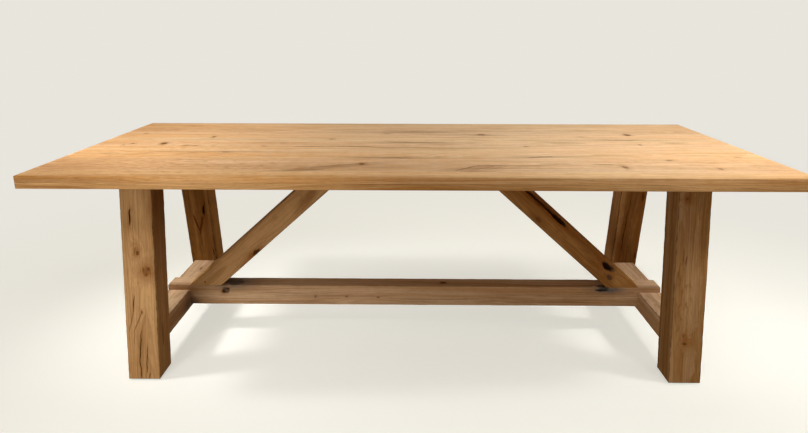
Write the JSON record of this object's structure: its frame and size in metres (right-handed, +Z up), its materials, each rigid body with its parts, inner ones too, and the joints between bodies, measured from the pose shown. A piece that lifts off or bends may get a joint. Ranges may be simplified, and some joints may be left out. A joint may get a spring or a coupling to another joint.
{
  "type": "trestle dining table",
  "caption": "Rectangular solid wood dining table: board top on two A-shaped trestles, tied by a low half-lapped stretcher and two slanting braces.",
  "frame": {"origin": "on the floor under the middle of the top", "axes": "+X along the length of the table, +Y towards its back, +Z up"},
  "size_m": [2.4, 1.1, 0.75],
  "materials": {
    "oak_top": "oiled honey oak, matt, with knots and fine cracks",
    "oak_frame": "oiled rustic oak, matt, with dark knots, checks and stains",
    "beech_tongue": "plain planed beech",
    "zinc_steel": "zinc plated steel",
    "felt_glide": "dense brown felt"
  },
  "bodies": {
    "root": {"batten_left": "oak_frame", "batten_right": "oak_frame", "bearer_left": "oak_frame", "bearer_right": "oak_frame", "board_tongues": "beech_tongue", "brace_left": "oak_frame", "brace_right": "oak_frame", "coach_screws": "zinc_steel", "coach_washers": "zinc_steel", "edge_strip_back": "oak_top", "edge_strip_front": "oak_top", "edge_strip_left": "oak_top", "edge_strip_right": "oak_top", "floor_glide_back_left": "felt_glide", "floor_glide_back_right": "felt_glide", "floor_glide_front_left": "felt_glide", "floor_glide_front_right": "felt_glide", "leg_back_left": "oak_frame", "leg_back_right": "oak_frame", "leg_front_left": "oak_frame", "leg_front_right": "oak_frame", "low_rail_left": "oak_frame", "low_rail_right": "oak_frame", "stretcher": "oak_frame", "top_board_1": "oak_top", "top_board_2": "oak_top", "top_board_3": "oak_top", "top_board_4": "oak_top", "top_board_5": "oak_top", "top_board_6": "oak_top", "top_board_7": "oak_top", "top_screws": "zinc_steel"}
  },
  "joints": []
}
